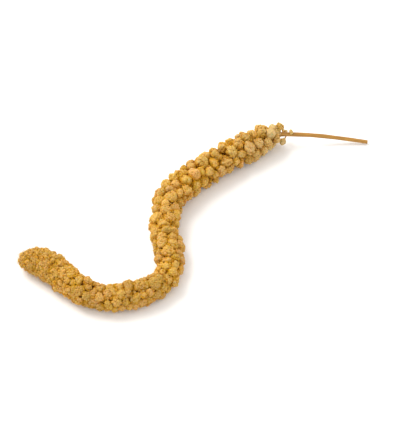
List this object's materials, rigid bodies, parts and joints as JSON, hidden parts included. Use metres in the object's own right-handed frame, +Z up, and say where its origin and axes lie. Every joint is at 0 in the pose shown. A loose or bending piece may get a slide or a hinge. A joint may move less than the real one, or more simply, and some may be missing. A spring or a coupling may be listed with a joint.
{
  "type": "foxtail millet head",
  "caption": "Dried foxtail millet head lying on its side: a long bent golden spike of rounded grain clusters, on a length of cut straw stalk.",
  "frame": {"origin": "on the surface that the head lies on, under the middle of its bounding box", "axes": "+Z up from the surface, +X along the longest extent towards the stalk's cut end, +Y across towards the neck's side"},
  "size_m": [0.2255, 0.1486, 0.021],
  "materials": {
    "dried_millet": "matt dry husks of golden-brown grain",
    "straw": "satin dry straw"
  },
  "bodies": {
    "root": {"seed_head": "dried_millet", "stem": "straw"}
  },
  "joints": []
}
